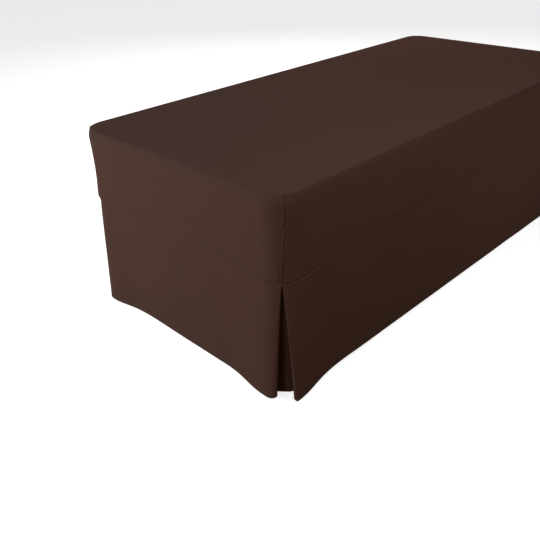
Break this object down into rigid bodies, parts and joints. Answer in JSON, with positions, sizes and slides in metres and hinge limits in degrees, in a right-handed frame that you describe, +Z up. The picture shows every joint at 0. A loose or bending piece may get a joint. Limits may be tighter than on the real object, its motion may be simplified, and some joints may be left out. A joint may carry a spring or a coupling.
{
  "type": "fitted valance sheet on a mattress and bed base",
  "caption": "Plain fitted valance sheet on a mattress and base: a fitted box over the mattress, and below it a drop to the floor with an inverted box pleat at every corner.",
  "frame": {"origin": "on the floor, under the middle of the bed", "axes": "+Y along the bed from its foot to its head, +Z up, +X to the right as seen from the foot"},
  "size_m": [0.9434, 1.9326, 0.646],
  "materials": {
    "valance_cloth": "plain chocolate brown polycotton, matt",
    "ticking": "plain off-white mattress ticking",
    "base_fabric": "plain light grey upholstery"
  },
  "bodies": {
    "root": {"fitted_sheet": "valance_cloth", "valance": "valance_cloth", "mattress": "ticking", "bed_base": "base_fabric"}
  },
  "joints": []
}
